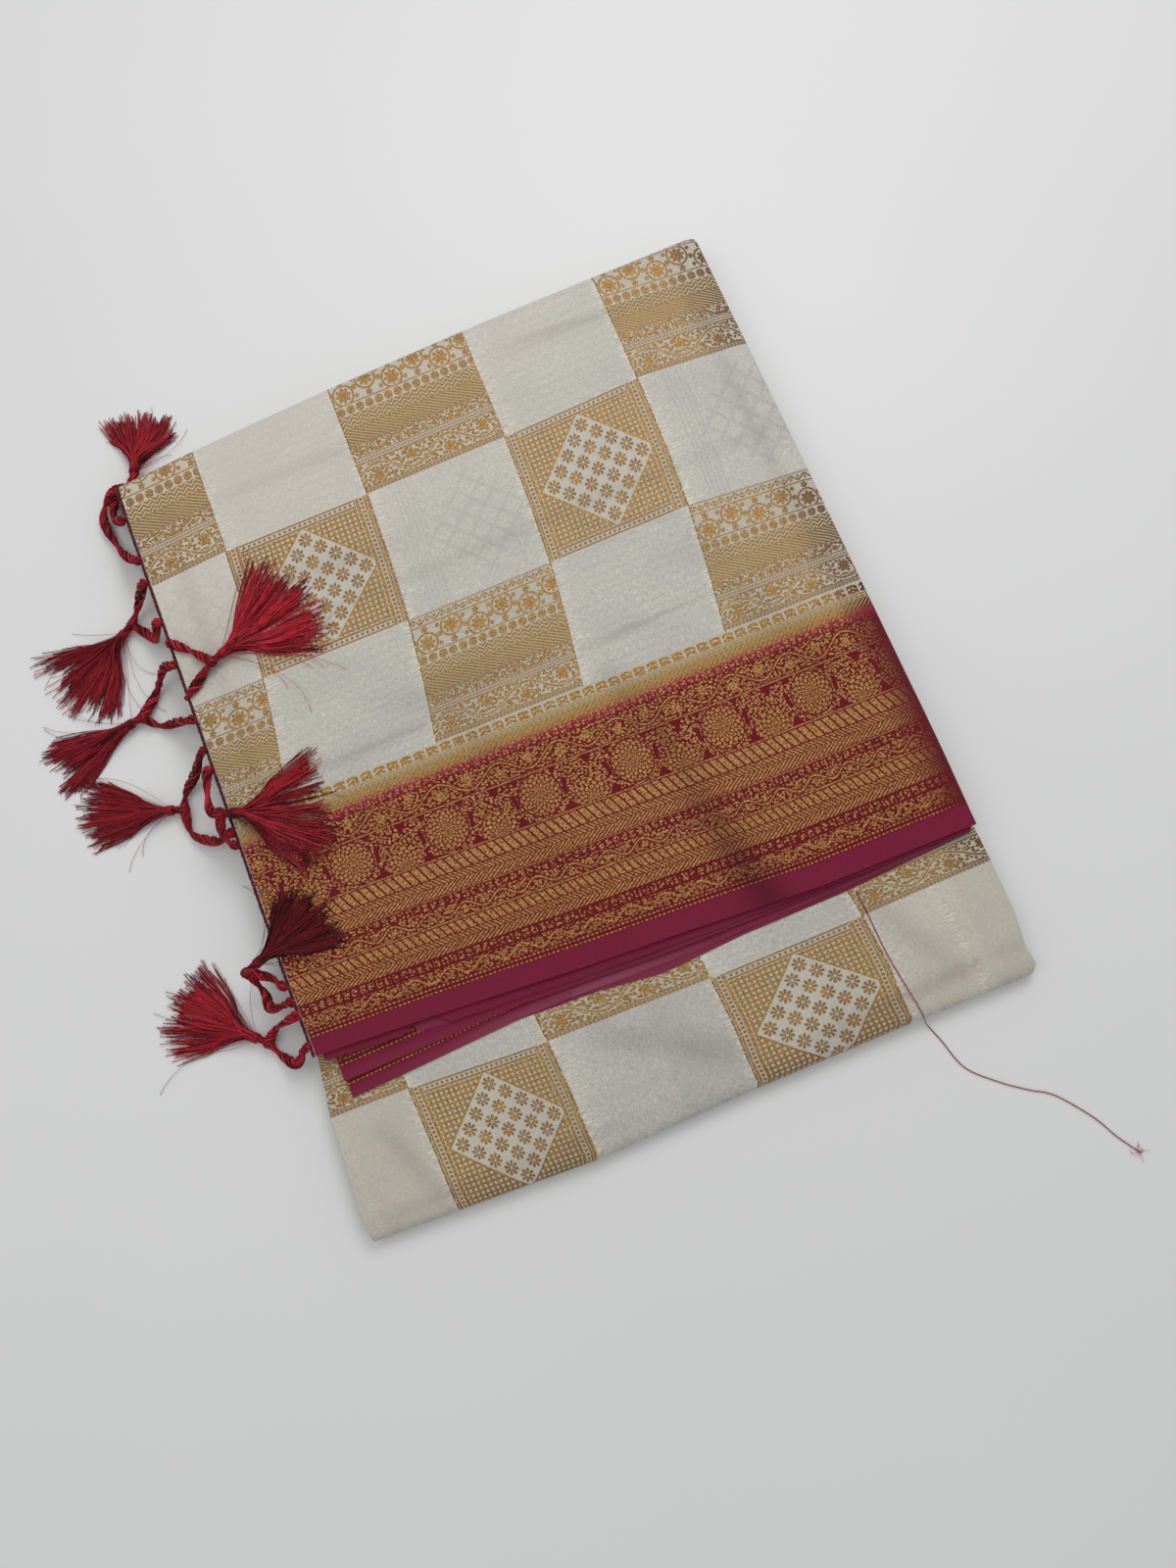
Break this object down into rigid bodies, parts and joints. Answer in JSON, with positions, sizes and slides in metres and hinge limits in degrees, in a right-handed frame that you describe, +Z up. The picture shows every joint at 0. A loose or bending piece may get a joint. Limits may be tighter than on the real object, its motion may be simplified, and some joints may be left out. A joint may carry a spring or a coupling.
{
  "type": "folded saree",
  "caption": "Silk tissue saree folded flat into a layered bundle, with a checked body, a broad brocaded border, fanned plain selvedges and a tasselled end.",
  "frame": {"origin": "middle of the bundle's flat underside, on the surface it rests on", "axes": "+Z up out of the surface, +X along the saree's length from the tasselled end, +Y across it towards the upper fold"},
  "size_m": [0.4912, 0.6352, 0.0299],
  "materials": {
    "tissue_check": "cream silk tissue woven with silver thread, with cells brocaded in gold thread",
    "zari_border": "maroon silk covered with rows of gold-thread brocade, and a plain maroon selvedge",
    "maroon_silk": "plain maroon silk with a soft sheen",
    "rolled_hem": "narrow dark rolled hem",
    "tassel_silk": "loose red silk strands with a bright sheen",
    "folded_layers": "folded edges of cream and gold tissue",
    "loose_silk": "one twisted maroon silk thread"
  },
  "bodies": {
    "root": {"folded_core": "folded_layers", "lower_body": "tissue_check", "upper_body": "tissue_check", "upper_border": "zari_border", "inner_selvedge_1": "maroon_silk", "inner_selvedge_2": "maroon_silk", "inner_selvedge_3": "maroon_silk", "inner_selvedge_4": "maroon_silk", "pallu_hem": "rolled_hem", "tassel_1": "tassel_silk", "tassel_2": "tassel_silk", "tassel_3": "tassel_silk", "tassel_4": "tassel_silk", "tassel_5": "tassel_silk", "tassel_6": "tassel_silk", "tassel_7": "tassel_silk", "tassel_8": "tassel_silk", "loose_thread": "loose_silk"}
  },
  "joints": []
}
